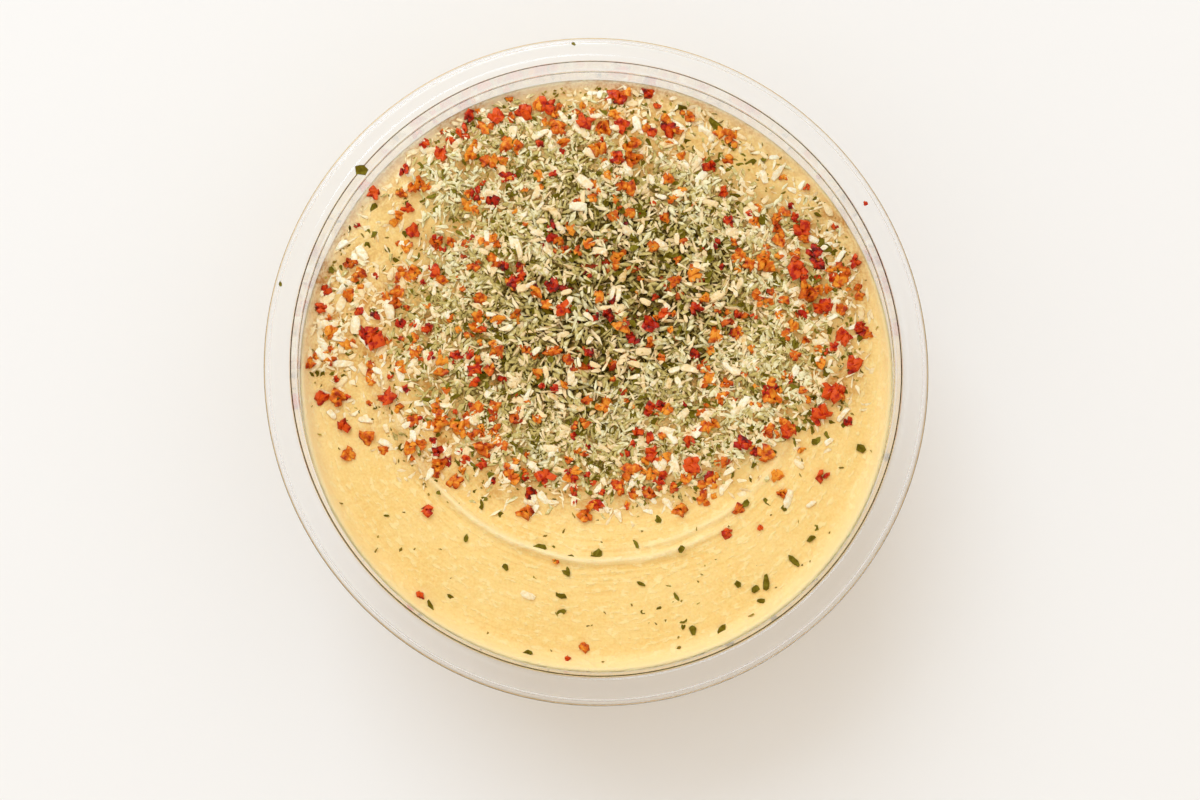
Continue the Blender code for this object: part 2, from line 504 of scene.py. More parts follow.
class DIP_OT_tub(bpy.types.Operator):
    """Makes the clear tub as one turned wall with its base, snap bead, lip and sloping rim"""

    bl_idname = "dip.tub"
    bl_label = "Clear Tub"

    def execute(self, context):
        sizes = context.scene.dip_tub
        inner = tub_profile(sizes)
        outer = beside(inner, -sizes.wall)
        bm = bmesh.new()
        rings = [turned_ring(bm, radius, height, sizes.segments) for radius, height in inner + outer[::-1]]
        skin(bm, rings)
        tub = to_object("clear_tub", bm, clear_plastic(sizes))
        settle(tub, "clear_plastic", "tub")
        return {"FINISHED"}


def paste_finish(look):
    """A damp coarse-grained paste with pale grains, darker mottling in the hollows of its grain that is
    partly painted shade, painted light where it meets the clear wall, a painted highlight on the swirl's
    ridge, and marks under the topping that are partly stains and partly painted shade of the bits.
    """
    finish = Finish("hummus_paste")
    fine = finish.noise(0.45 * MM, detail=3.0)
    medium = finish.noise(1.5 * MM, detail=3.0)
    broad = finish.noise(9 * MM, detail=2.0)
    along = finish.vector("MULTIPLY", finish.place, (110.0, 110.0, 0.0))
    across = finish.add("ShaderNodeCombineXYZ", {}, {"Z": finish.attribute("swirl") * 1.7})
    drawn = finish.vector("ADD", along, across)
    streaks = finish.steps(finish.noise(1.0, detail=2.0, at=drawn), 0.36, 0.64)
    streaks = (streaks - 0.5) * finish.attribute("drawn_out")
    along_swirl = finish.vector("MULTIPLY", drawn, (5.0, 5.0, 0.7))
    grains = finish.steps(finish.noise(1.0, detail=2.0, at=along_swirl) * 0.6 + medium * 0.4, 0.52, 0.62)
    # The paste's own mottling, with the deep paste where the grain's bump is lowest, so it is partly painted
    # shade in the hollows.
    uneven = finish.steps(fine * 0.7 + medium * 0.3 + streaks * 0.25, 0.26, 0.64)
    colour = finish.blend(uneven, tuple(look.deep), tuple(look.paste))
    colour = finish.blend(finish.steps(broad, 0.35, 0.7) * 0.15, colour, tuple(look.pale))
    colour = finish.blend(grains * 0.55, colour, tuple(look.pale))
    # Painted highlight: the swirl's ridge is painted paler, where light catches it.
    colour = finish.blend(finish.attribute("crest") * 0.6, colour, (1.0, 0.87, 0.53))
    # Painted light: the paste is painted paler where it meets the clear wall, standing in for the light the
    # wall scatters over it, and palest on the lamp's side.
    rim = finish.blend(finish.attribute("light_side"), (1.0, 0.80, 0.42), (1.0, 0.95, 0.76))
    colour = finish.blend(finish.attribute("edge") * 0.75, colour, rim)
    # Darker paste where the topping lies: partly its own stains, partly painted shade of the bits.
    colour = finish.blend(finish.attribute("moist") * 0.35, colour, (0.66, 0.44, 0.12))
    # Orange stains from the bits over the topped field, darkened further as painted shadow of the bits.
    orange_stain_and_shadow = finish.attribute("warm") * (finish.steps(medium * 0.5 + fine * 0.5, 0.60, 0.38) * 0.6 + 0.25)
    colour = finish.blend(orange_stain_and_shadow, colour, (0.50, 0.17, 0.010))
    # Painted shade: the paste under the dense bed is darkened in the gaps between the slivers.
    colour = finish.blend(finish.attribute("bed") * finish.steps(fine, 0.3, 0.6), colour, (0.16, 0.09, 0.008))
    finish.set(base_color=colour, roughness=0.42 + finish.steps(medium, 0.3, 0.7) * 0.2)
    finish.set(specular_ior_level=0.2, subsurface_weight=0.12, subsurface_radius=(0.004, 0.002, 0.0008))
    relief = fine * 0.4 + medium * 0.5 + grains * 0.45 + streaks * 0.4
    finish.set(normal=finish.bump(relief, 0.18 * MM, strength=0.8))
    return finish.material


def mark(piece, **shares):
    """Stores shares of the place as float attributes on the points of a piece's top."""
    for name, share in shares.items():
        stored = piece.data.attributes.new(name, "FLOAT", "POINT")
        places = [v.co for v in piece.data.vertices]
        top = TOP_STARTS + 0.1 * MM
        stored.data.foreach_set("value", [share(p.x, p.y) if p.z > top else 0.0 for p in places])


class DIP_OT_hummus(bpy.types.Operator):
    """Makes the dip, which fills the tub just into its wall, up to its swirled top"""

    bl_idname = "dip.hummus"
    bl_label = "Hummus"

    def execute(self, context):
        look = context.scene.dip_hummus
        sizes = context.scene.dip_tub
        reach = FILL_RADIUS + INTO_WALL

        def place(share, angle):
            radius = share * out_of_round(reach, FILL_LEVEL, angle)
            height = paste_height(radius * cos(angle), radius * sin(angle), look)
            radius += max(0.0, height - FILL_LEVEL) * tan(DRAFT) * share**20
            return (radius * cos(angle), radius * sin(angle), height)

        bm = bmesh.new()
        rings = disc(bm, look.rings, place)
        inside = beside([p for p in tub_profile(sizes) if p[1] < 4 * MM], -INTO_WALL)
        inside.append((wall_radius(TOP_STARTS) + INTO_WALL, TOP_STARTS))
        below = [turned_ring(bm, radius, height, 8 * look.rings) for radius, height in inside]
        skin(bm, below + [rings[-1]])
        paste = to_object("hummus_paste", bm, paste_finish(look))
        mark(
            paste,
            # painted light: paler paste at the wall, palest on the lamp's side
            edge=lambda x, y: exp(-max(0.0, FILL_RADIUS - hypot(x, y)) / (1.1 * MM)),
            light_side=lambda x, y: max(0.0, cos(atan2(y, x) - LIGHT_SIDE)),
            # painted highlight along the swirl's ridge
            crest=crest_share,
            # partly stains, partly painted shade under the topping
            moist=lambda x, y: field(x, y) * clumps(x, y, 6, 80, 0.3),
            # orange stains, darkened as painted shadow of the bits
            warm=lambda x, y: field(x, y) * clumps(x, y, 5, 80, 0.45, 0.75),
            # painted shade in the gaps under the dense bed
            bed=dense,
            swirl=lambda x, y: swirl_at(x, y)[1] / MM,
            drawn_out=drawn_out,
        )
        settle(paste, "hummus_paste", "hummus")
        return {"FINISHED"}


# ---------------------------------------------------------------- shapes of the dried bits


def splinter(bm, dice, length, width, depth, corners, taper=0.5, at=(0, 0, 0), turn=0.0):
    """A broken chip: the hull of a few corners, longer than wide and narrower at its ends."""
    made = []
    for n in range(corners):
        along = (-1, 1)[n] if n < 2 else dice.uniform(-0.85, 0.85)
        room = 1 - taper * abs(along)
        around = tau * (0.37 * n + dice.uniform(-0.12, 0.12))
        x, y = along * length / 2, room * cos(around) * width / 2
        place = (x * cos(turn) - y * sin(turn), x * sin(turn) + y * cos(turn), room * sin(around) * depth / 2)
        made.append(bm.verts.new(Vector(place) + Vector(at)))
    hull = bmesh.ops.convex_hull(bm, input=made)
    spare = {v for v in hull["geom_interior"] + hull["geom_unused"] if isinstance(v, bmesh.types.BMVert)}
    bmesh.ops.delete(bm, geom=list(spare), context="VERTS")


def fine_sliver(name, dice, length, width, depth, corners=9, taper=0.5):
    bm = bmesh.new()
    splinter(bm, dice, length, width, depth, corners, taper)
    return to_object(name, bm, crease=50)


def crumb(name, dice, size, flatness=0.5, chips=4):
    """A crumb of dried pepper: a few crumpled chips grown together."""
    bm = bmesh.new()
    start = dice.uniform(0, tau)
    for n in range(chips):
        reach, away = dice.uniform(0.15, 0.34) * size, start + tau * n / chips
        at = (reach * cos(away), 0.7 * reach * sin(away), dice.uniform(-0.10, 0.14) * size)
        length, width = size * dice.uniform(0.50, 0.75), size * dice.uniform(0.42, 0.62)
        depth = size * flatness * dice.uniform(0.8, 1.2)
        splinter(bm, dice, length, width, depth, 13, 0.15, at, dice.uniform(0, tau))
    return to_object(name, bm, crease=48)


def flake(name, dice, length, width, depth, bend, points=8):
    """A chopped sliver of onion: a thin plate with uneven sides, cut ends and softened upper edges."""
    bm = bmesh.new()
    point_end = dice.choice((0.0, 0.25, 0.6))
    outline = []
    for i in range(points):
        turn = tau * (i + 0.5 + dice.uniform(-0.22, 0.22)) / points
        along, across = cos(turn), sin(turn)
        x = 0.5 * length * (abs(along) ** 0.7) * (1 if along > 0 else -1) * dice.uniform(0.86, 1.0)
        narrow = 1 - point_end * max(0.0, x / length * 2) - 0.25 * dice.random()
        y = 0.5 * width * (abs(across) ** 0.6) * (1 if across > 0 else -1) * narrow
        outline.append((x, y + bend * length * ((2 * x / length) ** 2 - 0.4)))
    lean = dice.uniform(-0.12, 0.12)
    sag = dice.uniform(-0.10, 0.22)

    def layer(lift, inset):
        rise = [lift + lean * y + sag * (x * x) / length for x, y in outline]
        return [bm.verts.new((x * inset, y * inset, z)) for (x, y), z in zip(outline, rise)]

    layers = [layer(-0.5 * depth, 0.86), layer(0.05 * depth, 1.0), layer(0.45 * depth, 0.78)]
    skin(bm, [[bm.verts.new((0, 0, -0.5 * depth))]] + layers + [[bm.verts.new((0, 0, 0.55 * depth))]])
    return to_object(name, bm, crease=42)


def leaf(name, dice, length, width, depth, curl, points=7):
    """A flake of dried leaf: a thin curled scrap with a torn outline."""
    bm = bmesh.new()
    outline = []
    for i in range(points):
        angle = tau * (i + dice.uniform(-0.3, 0.3)) / points
        reach = dice.uniform(0.6, 1.0) / 2
        outline.append((reach * cos(angle) * length, reach * sin(angle) * width))
    middle_rise = curl * width * dice.uniform(-0.5, 0.5)

    def layer(lift):
        ring = [bm.verts.new((x, y, lift + curl * (abs(y) + 0.4 * abs(x)))) for x, y in outline]
        return ring, [bm.verts.new((0, 0, lift + middle_rise))]

    low, low_middle = layer(-depth / 2)
    high, high_middle = layer(depth / 2)
    skin(bm, [low_middle, low, high, high_middle])
    return to_object(name, bm, crease=30)


def store_low_parts(mesh):
    """Stores how low each point lies in its bit, from 0 at the top to 1, for the painted shade on its low
    sides.
    """
    heights = [v.co.z for v in mesh.vertices]
    top, depth = max(heights), max(heights) - min(heights)
    stored = mesh.attributes.new("low", "FLOAT", "POINT")
    stored.data.foreach_set("value", [(top - z) / depth for z in heights])


def make_kinds(label, count, build):
    """A collection of several differently shaped bits of one kind."""
    kinds = bpy.data.collections.new(label)
    bpy.context.scene.collection.children.link(kinds)
    for n in range(count):
        bit = build(f"{label}_{n}", random.Random(f"{label} {n}"))
        store_low_parts(bit.data)
        bpy.context.scene.collection.objects.unlink(bit)
        kinds.objects.link(bit)
    return kinds


# ---------------------------------------------------------------- scattering


class Scatter(Tree):
    """A Geometry Nodes tree that strews bits over a ground and adds listed ones."""

    SOCKETS = (
        ("Spots", "NodeSocketGeometry"),
        ("Ground", "NodeSocketObject"),
        ("Bits", "NodeSocketCollection"),
        ("Per Square Metre", "NodeSocketFloat"),
        ("Spacing", "NodeSocketFloat"),
        ("Smallest", "NodeSocketFloat"),
        ("Largest", "NodeSocketFloat"),
        ("Tilt", "NodeSocketFloat"),
        ("Pile", "NodeSocketFloat"),
        ("Seed", "NodeSocketInt"),
        ("Finish", "NodeSocketMaterial"),
    )

    def __init__(self):
        super().__init__(bpy.data.node_groups.new("Scatter Dried Bits", "GeometryNodeTree"))
        for name, kind in self.SOCKETS:
            self.tree.interface.new_socket(name=name, in_out="INPUT", socket_type=kind)
        self.tree.interface.new_socket(name="Geometry", in_out="OUTPUT", socket_type="NodeSocketGeometry")
        given = self.tree.nodes.new("NodeGroupInput")
        self.given = {name: Wire(self, given.outputs[name]) for name, _ in self.SOCKETS}
        self.build()

    def chance(self, low, high, seed):
        """A random value for each bit."""
        inputs = {2: low, 3: high, 8: self.given["Seed"] + seed}
        return self.add("FunctionNodeRandomValue", {"data_type": "FLOAT"}, inputs, 1)

    def choice(self, low, high, seed):
        """A random whole number for each bit."""
        inputs = {4: low, 5: high, 8: self.given["Seed"] + seed}
        return self.add("FunctionNodeRandomValue", {"data_type": "INT"}, inputs, 2)

    def stored(self, name):
        return self.add("GeometryNodeInputNamedAttribute", {"data_type": "FLOAT"}, {"Name": name})

    def strewn(self, bits):
        """Turned and tilted bits spread over the ground by its share and piled up by its heap."""
        given = self.given
        ground = self.add("GeometryNodeObjectInfo", {}, {"Object": given["Ground"]}, output="Geometry")
        spread = self.node(
            "GeometryNodeDistributePointsOnFaces",
            {"distribute_method": "POISSON"},
            {
                "Mesh": ground,
                "Distance Min": given["Spacing"],
                "Density Max": given["Per Square Metre"],
                "Density Factor": self.stored("share"),
                "Seed": given["Seed"],
            },
        )
        points = Wire(self, spread.outputs["Points"])
        level = self.chance(0.0, 1.0, 11)
        lift = self.add("ShaderNodeCombineXYZ", {}, {"Z": level * self.stored("heap") * given["Pile"]})
        raised = self.add("GeometryNodeSetPosition", {}, {"Geometry": points, "Offset": lift})
        # How far down the pile each bit lies, which the finishes darken as painted shade.
        raised = self.add(
            "GeometryNodeStoreNamedAttribute",
            {"data_type": "FLOAT", "domain": "POINT"},
            {"Geometry": raised, "Name": "deep", "Value": (1.0 - level) * self.stored("heap")},
        )
        lean = given["Tilt"]
        turn = self.add(
            "ShaderNodeCombineXYZ",
            {},
            {
                "X": self.chance(-1.0, 1.0, 21) * lean,
                "Y": self.chance(-1.0, 1.0, 31) * lean,
                "Z": self.chance(0.0, tau, 41),
            },
        )
        turning = self.add("FunctionNodeEulerToRotation", {}, {"Euler": turn})
        return self.add(
            "GeometryNodeInstanceOnPoints",
            {},
            {
                "Points": raised,
                "Instance": bits,
                "Pick Instance": True,
                "Instance Index": self.choice(0, 99, 51),
                "Rotation": turning,
                "Scale": self.chance(given["Smallest"], given["Largest"], 61),
            },
        )

    def placed(self, bits):
        """Bits on the listed spots, by each spot's own turn, shape and size."""
        turn = self.add("ShaderNodeCombineXYZ", {}, {"X": self.stored("tip"), "Z": self.stored("turn")})
        turning = self.add("FunctionNodeEulerToRotation", {}, {"Euler": turn})
        return self.add(
            "GeometryNodeInstanceOnPoints",
            {},
            {
                "Points": self.given["Spots"],
                "Instance": bits,
                "Pick Instance": True,
                "Instance Index": self.stored("shape"),
                "Rotation": turning,
                "Scale": self.stored("size"),
            },
        )

    def build(self):
        bits = self.add(
            "GeometryNodeCollectionInfo", {}, {"Collection": self.given["Bits"], "Separate Children": True}
        )
        joined = self.node("GeometryNodeJoinGeometry")
        for bits_on_points in (self.strewn(bits), self.placed(bits)):
            self.tree.links.new(bits_on_points.socket, joined.inputs[0])
        toned = self.add(
            "GeometryNodeStoreNamedAttribute",
            {"data_type": "FLOAT", "domain": "INSTANCE"},
            {"Geometry": Wire(self, joined.outputs[0]), "Name": "tone", "Value": self.chance(0.0, 1.0, 71)},
        )
        real = self.add("GeometryNodeRealizeInstances", {}, {"Geometry": toned})
        coat = self.given["Finish"]
        finished = self.add("GeometryNodeSetMaterial", {}, {"Geometry": real, "Material": coat})
        out = self.tree.nodes.new("NodeGroupOutput")
        self.tree.links.new(finished.socket, out.inputs[0])

    def run(self, name, spots, **values):
        """Evaluates the tree on an object of spots and returns the result as a plain mesh object."""
        holder = bpy.data.objects.new(name + "_spots", spots)
        bpy.context.scene.collection.objects.link(holder)
        modifier = holder.modifiers.new("scatter", "NODES")
        modifier.node_group = self.tree
        identifiers = {s.name: s.identifier for s in self.tree.interface.items_tree if s.in_out == "INPUT"}
        for label, value in values.items():
            modifier[identifiers[label.replace("_", " ").title()]] = value
        evaluated = holder.evaluated_get(bpy.context.evaluated_depsgraph_get())
        mesh = bpy.data.meshes.new_from_object(evaluated)
        mesh.name = name
        bpy.data.objects.remove(holder)
        piece = bpy.data.objects.new(name, mesh)
        bpy.context.scene.collection.objects.link(piece)
        return piece


def make_ground(look, topping, share):
    """A coarse copy of the top that carries how thickly one kind of bit lies and how deep the bed is."""
    spots = []

    def place(part, angle):
        radius = part * out_of_round(FILL_RADIUS - 0.6 * MM, FILL_LEVEL, angle)
        x, y = radius * cos(angle), radius * sin(angle)
        spots.append((max(0.0, min(1.0, share(x, y))), heap_share(x, y)))
        return (x, y, paste_height(x, y, look, fine=False) + 0.25 * topping.heap * heap_share(x, y))

    bm = bmesh.new()
    disc(bm, 48, place)
    ground = to_object("ground", bm)
    for name, values in (("share", [s for s, _ in spots]), ("heap", [h for _, h in spots])):
        stored = ground.data.attributes.new(name, "FLOAT", "POINT")
        stored.data.foreach_set("value", values)
    return ground


def make_spots(look, topping, rows):
    """Vertices for listed bits, with a turn, tip and shape of their own."""
    mesh = bpy.data.meshes.new("spots")
    places = []
    for x, y in ((row[0] * MM, row[1] * MM) for row in rows):
        under = rim_height(hypot(x, y)) if hypot(x, y) > FILL_RADIUS else paste_height(x, y, look, fine=False)
        places.append((x, y, under + 0.15 * MM + 0.9 * topping.heap * heap_share(x, y)))
    mesh.from_pydata(places, [], [])
    columns = (
        ("size", [row[2] for row in rows]),
        ("turn", [2.4 * n for n in range(len(rows))]),
        ("shape", [float(n) for n in range(len(rows))]),
        ("tip", [0.12 * sin(7.0 * n) for n in range(len(rows))]),
    )
    for name, values in columns:
        stored = mesh.attributes.new(name, "FLOAT", "POINT")
        stored.data.foreach_set("value", values)
    return mesh


def strew(context, name, kinds, finish, share, spots=(), **values):
    """Strews one kind of bit over the dip and settles the joined result as one piece."""
    look, topping = context.scene.dip_hummus, context.scene.dip_topping
    ground = make_ground(look, topping, share)
    tree = Scatter()
    mesh = make_spots(look, topping, spots)
    piece = tree.run(name, mesh, ground=ground, bits=kinds, finish=finish, **values)
    bpy.data.objects.remove(ground)
    for bit in list(kinds.objects):
        bpy.data.objects.remove(bit)
    bpy.data.collections.remove(kinds)
    settle(piece, "dried_topping")


# ---------------------------------------------------------------- where the bits lie


# The plainest bits, placed one by one: x and y in millimetres from the tub's axis, and size.
PEPPER_SPOTS = (
    (3, 50, 1.0), (-9, 48, 1.3), (-28, 39, 1.1), (-31, 41, 0.7), (-18, 46, 1.0), (10, 43, 0.8),
    (23, 32, 0.8), (37, 25, 1.2), (38, 33, 0.6), (-33, 25, 0.9), (-29, 18, 1.0), (-6, 11, 1.1),
    (12, 10, 0.9), (42, -4, 1.5), (46, 1, 1.0), (34, -11, 1.3), (40, 11, 1.1), (-40, 5, 1.4),
    (-49, 11, 1.0), (-49, -5, 0.9), (-37, -5, 1.2), (-9, -19, 1.3), (0, -24, 1.0), (10, -15, 1.1),
    (17, -17, 1.1), (23, -29, 0.8), (-45, -10, 1.0), (-30, -25, 0.8), (-24, 43, 1.2), (-13, 47, 1.1),
    (-2, 45, 1.2), (-40, 32, 1.0), (44, 6, 1.3), (40, -8, 1.4), (36, 18, 1.2), (-31, -40, 0.7),
    (-5, -51, 0.5), (29, -28, 0.4), (40, -19, 1.0), (47, 28, 0.3),
)
ORANGE_SPOTS = (
    (-20, 44, 1.1), (6, 33, 1.2), (17, 46, 0.8), (-44, -15, 1.1), (-25, -20, 1.0), (-2, -49, 0.8),
    (-2, -26, 1.1), (25, -25, 0.9), (33, -22, 0.6), (-7, -34, 0.5), (19, -23, 1.0), (-51, 1, 0.9),
    (-33, 33, 0.8), (44, 11, 1.0), (-7, 44, 1.2), (-16, 41, 1.2), (-46, -5, 1.3), (-41, -12, 1.2),
    (38, 14, 1.2), (30, -15, 1.3), (6, -18, 1.3), (-20, -14, 1.3),
)
ONION_SPOTS = (
    (-45, 1, 1.6), (-48, 2, 1.3), (-37, 11, 1.4), (33, 36, 1.5), (15, 32, 1.4), (-2, 34, 1.2),
    (-14, 22, 1.3), (-5, 12, 1.1), (14, 0, 1.2), (-12, -40, 1.0), (4, -26, 0.9), (34, -23, 1.0),
    (38, -24, 0.9), (-41, -9, 0.9), (-6, 46, 1.2), (-15, 43, 1.3), (-22, 40, 1.2), (3, 44, 1.3),
    (-47, -8, 1.1), (-43, 8, 1.2), (44, -8, 1.1), (40, 5, 1.2),
)
HERB_SPOTS = (
    (41, 22, 1.2), (35, -34, 1.3), (30, -38, 1.2), (28, -39, 1.0), (29, -41, 0.7), (25, -38, 0.8),
    (17, -46, 0.9), (22, -46, 0.9), (-12, -50, 0.8), (8, -38, 0.8), (-29, -42, 0.9), (15, -32, 0.9),
    (26, -24, 1.1), (47, -14, 1.1), (-16, -35, 0.7), (-23, -30, 0.6), (38, -30, 0.7), (-37, -26, 0.5),
    (22, 44, 1.6), (30, 27, 1.3), (0, -33, 1.2), (-41, 34, 1.4), (-4, 57, 0.4), (-55, 14, 0.4),
)


def blob(x, y, centre_x, centre_y, wide, deep, soft=0.25):
    """A smooth mask in millimetres: 1 inside an oval, falling to 0 across its soft edge."""
    reach = hypot((x / MM - centre_x) / wide, (y / MM - centre_y) / deep)
    share = min(1.0, max(0.0, (1 + soft - reach) / (2 * soft)))
    return share * share * (3 - 2 * share)


def field(x, y):
    """How thickly the topping lies: over most of the dip, thinner at two sides and bare at the front."""
    thin = 0.60 * blob(x, y, -37, 29, 11, 14, 0.5) + 0.60 * blob(x, y, 34, 38, 14, 9, 0.5)
    thin += 0.60 * blob(x, y, -42, -9, 9, 9, 0.5) + 0.95 * blob(x, y, 56, 10, 8, 60, 0.3)
    thin += 0.45 * blob(x, y, 38, -19, 12, 6, 0.5)
    ragged = 1.0 + 0.05 * patch(x, y, 9 * MM, 33.0)
    return blob(x * ragged, y * ragged, -1, 14, 53, 38.5, 0.10) * (1 - min(0.9, thin))


def clumps(x, y, size, seed, least=0.0, bias=0.5):
    """An uneven share that gathers bits in clumps of a given size."""
    return max(least, min(1.0, bias + 1.6 * patch(x, y, size * MM, seed)))


def dense(x, y):
    """How far the fine green-white slivers close up to a bed, with an arm to the back left."""
    body = blob(x, y, 4, 9, 36, 29, 0.25)
    arm = 0.85 * blob(x, y, -12, 34, 18, 14, 0.3)
    return min(1.0, max(body, arm) * clumps(x, y, 8, 25, 0.55, 0.85))


def onion_share(x, y):
    return field(x, y) * clumps(x, y, 4, 20, 0.3) * (1 - 0.45 * dense(x, y))


def fine_green_share(x, y):
    return max(dense(x, y), 0.05 * field(x, y))


def fine_cream_share(x, y):
    return max(0.45 * dense(x, y), field(x, y) * clumps(x, y, 5, 30, 0.25))


def pepper_share(x, y):
    return field(x, y) * clumps(x, y, 6, 40, 0.0, 0.35) * (1 - 0.55 * dense(x, y))


def orange_share(x, y):
    return field(x, y) * clumps(x, y, 6, 50, 0.06, 0.5) * (1 - 0.35 * dense(x, y))


def herb_share(x, y):
    bare = 0.006 * blob(x, y, 5, -32, 40, 18)
    return bare + field(x, y) * clumps(x, y, 3, 60, 0.05, 0.30) * (0.35 + 0.65 * dense(x, y))


def grit_share(x, y):
    return max(dense(x, y) * clumps(x, y, 4, 70, 0.3), 0.12 * field(x, y), 0.008)


# ---------------------------------------------------------------- topping


def dried_finish(name, tones, roughness, wrinkle, gloss=0.15, drifting=0.0, mottling=1.2):
    """A wrinkled dried bit with a tone of its own, a fine mottling, and painted shade that darkens its low
    sides and the bits deeper in the pile.
    """
    finish = Finish(name)
    dark, colour, pale = tones
    tone = finish.attribute("tone")
    mottle = finish.noise(wrinkle * 1.4, detail=2.0)
    drift = finish.noise(7 * MM, detail=1.0)
    deep, low = finish.attribute("deep"), finish.steps(finish.attribute("low"), 0.1, 0.9)
    share = tone * 0.55 + (mottle - 0.5) * mottling + (drift - 0.5) * drifting
    # Painted shade: the low sides of each bit and bits deeper in the pile move towards the dark tone.
    share = (share + 0.4 - deep * 0.5 - low * 0.25).clamped()
    toned = finish.blend(finish.steps(share, 0.0, 0.45), dark, tuple(colour))
    toned = finish.blend(finish.steps(share, 0.5, 1.0), toned, pale)
    # Painted shade, darkest on the low sides of each bit and deep in the pile.
    painted_shade = (low * 0.75 + deep * 0.65 - 0.1).clamped()
    toned = finish.blend(painted_shade * 0.85, toned, tuple(c * 0.45 for c in dark))
    finish.set(base_color=toned, roughness=roughness, specular_ior_level=gloss)
    finish.set(normal=finish.bump(finish.noise(wrinkle, detail=3.0), wrinkle * 0.5, strength=0.9))
    return finish


class DIP_OT_topping_core(bpy.types.Operator):
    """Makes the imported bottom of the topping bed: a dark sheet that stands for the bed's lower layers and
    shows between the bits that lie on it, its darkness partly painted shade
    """

    bl_idname = "dip.topping_core"
    bl_label = "Topping Core"

    def execute(self, context):
        look, topping = context.scene.dip_hummus, context.scene.dip_topping

        def place(share, angle, top):
            radius = share * BED_REACH * (1 + 0.10 * sin(2 * angle + 0.6) + 0.07 * sin(3 * angle + 2.2))
            x, y = BED_CENTRE.x + radius * cos(angle), BED_CENTRE.y + radius * sin(angle)
            ground = paste_height(x, y, look, fine=False)
            if not top:
                return (x, y, ground - 1.0 * MM)
            lump = 0.5 + 0.5 * patch(x, y, 1.6 * MM, 90.0)
            return (x, y, ground - 0.35 * MM + topping.heap * heap_share(x, y) * (0.40 + 0.30 * lump))

        bm = bmesh.new()
        upper = disc(bm, 56, lambda share, angle: place(share * 0.96, angle, True))
        lower = [bm.verts.new(place(0.96, tau * i / len(upper[-1]), False)) for i in range(len(upper[-1]))]
        skin(bm, [upper[-1], lower, [bm.verts.new(place(0.0, 0.0, False))]])
        finish = Finish("topping_core")
        mottle = finish.noise(1.1 * MM, detail=3.0)
        # Partly painted shade: the core's mottled dark colour stands for the lower bits in shade.
        lower_layers_and_shade = finish.blend(finish.steps(mottle, 0.35, 0.65), (0.05, 0.028, 0.003), (0.30, 0.19, 0.03))
        finish.set(base_color=lower_layers_and_shade, roughness=0.85, specular_ior_level=0.15)
        finish.set(normal=finish.bump(finish.noise(0.5 * MM, detail=3.0), 0.2 * MM))
        core = to_object("topping_core", bm, finish.material)
        settle(core, "dried_topping", "topping_bed")
        return {"FINISHED"}


class DIP_OT_onion(bpy.types.Operator):
    """Strews the cream slivers of dried onion over most of the dip"""

    bl_idname = "dip.onion"
    bl_label = "Onion Slivers"

    def execute(self, context):
        topping = context.scene.dip_topping

        def build(name, dice):
            length, width = dice.triangular(1.8, 4.4, 2.4) * MM, dice.uniform(1.0, 1.8) * MM
            return flake(name, dice, length, width, 0.5 * MM, dice.uniform(-0.08, 0.08))

        finish = dried_finish("onion", ((0.78, 0.48, 0.14), topping.onion, (1.0, 0.92, 0.68)), 0.5, 0.5 * MM)
        finish.set(subsurface_weight=0.15, subsurface_radius=(0.0008, 0.0006, 0.0003))
        strew(
            context, "onion_slivers", make_kinds("onion_bit", 14, build), finish.material,
            onion_share, spots=ONION_SPOTS, per_square_metre=420000.0, spacing=1.0 * MM,
            smallest=0.6, largest=1.15, tilt=0.22, pile=topping.heap * 1.1, seed=3,
        )
        return {"FINISHED"}


class DIP_OT_fine_green(bpy.types.Operator):
    """Strews the fine green-white slivers that make the dense bed"""

    bl_idname = "dip.fine_green"
    bl_label = "Fine Green Slivers"

    def execute(self, context):
        topping = context.scene.dip_topping

        def build(name, dice):
            length, width = dice.triangular(1.5, 4.2, 2.3) * MM, dice.uniform(0.75, 1.3) * MM
            return fine_sliver(name, dice, length, width, 0.55 * MM)

        tones = ((0.13, 0.078, 0.005), topping.green_onion, (0.92, 0.85, 0.52))
        finish = dried_finish("fine_green", tones, 0.55, 0.5 * MM, drifting=1.3)
        strew(
            context, "fine_green_slivers", make_kinds("fine_green_bit", 12, build), finish.material,
            fine_green_share, per_square_metre=1600000.0, spacing=0.25 * MM,
            smallest=0.75, largest=1.2, tilt=0.5, pile=topping.heap * 0.8, seed=5,
        )
        return {"FINISHED"}


class DIP_OT_fine_cream(bpy.types.Operator):
    """Strews the small cream splinters between the larger onion slivers"""

    bl_idname = "dip.fine_cream"
    bl_label = "Fine Cream Slivers"

    def execute(self, context):
        topping = context.scene.dip_topping

        def build(name, dice):
            length, width = dice.triangular(1.2, 3.6, 1.9) * MM, dice.uniform(0.7, 1.3) * MM
            return fine_sliver(name, dice, length, width, 0.5 * MM)

        tones = ((0.56, 0.29, 0.055), topping.onion, (1.0, 0.86, 0.53))
        finish = dried_finish("fine_cream", tones, 0.5, 0.5 * MM)
        strew(
            context, "fine_cream_slivers", make_kinds("fine_cream_bit", 10, build), finish.material,
            fine_cream_share, per_square_metre=1100000.0, spacing=0.4 * MM,
            smallest=0.7, largest=1.2, tilt=0.4, pile=topping.heap * 0.95, seed=6,
        )
        return {"FINISHED"}


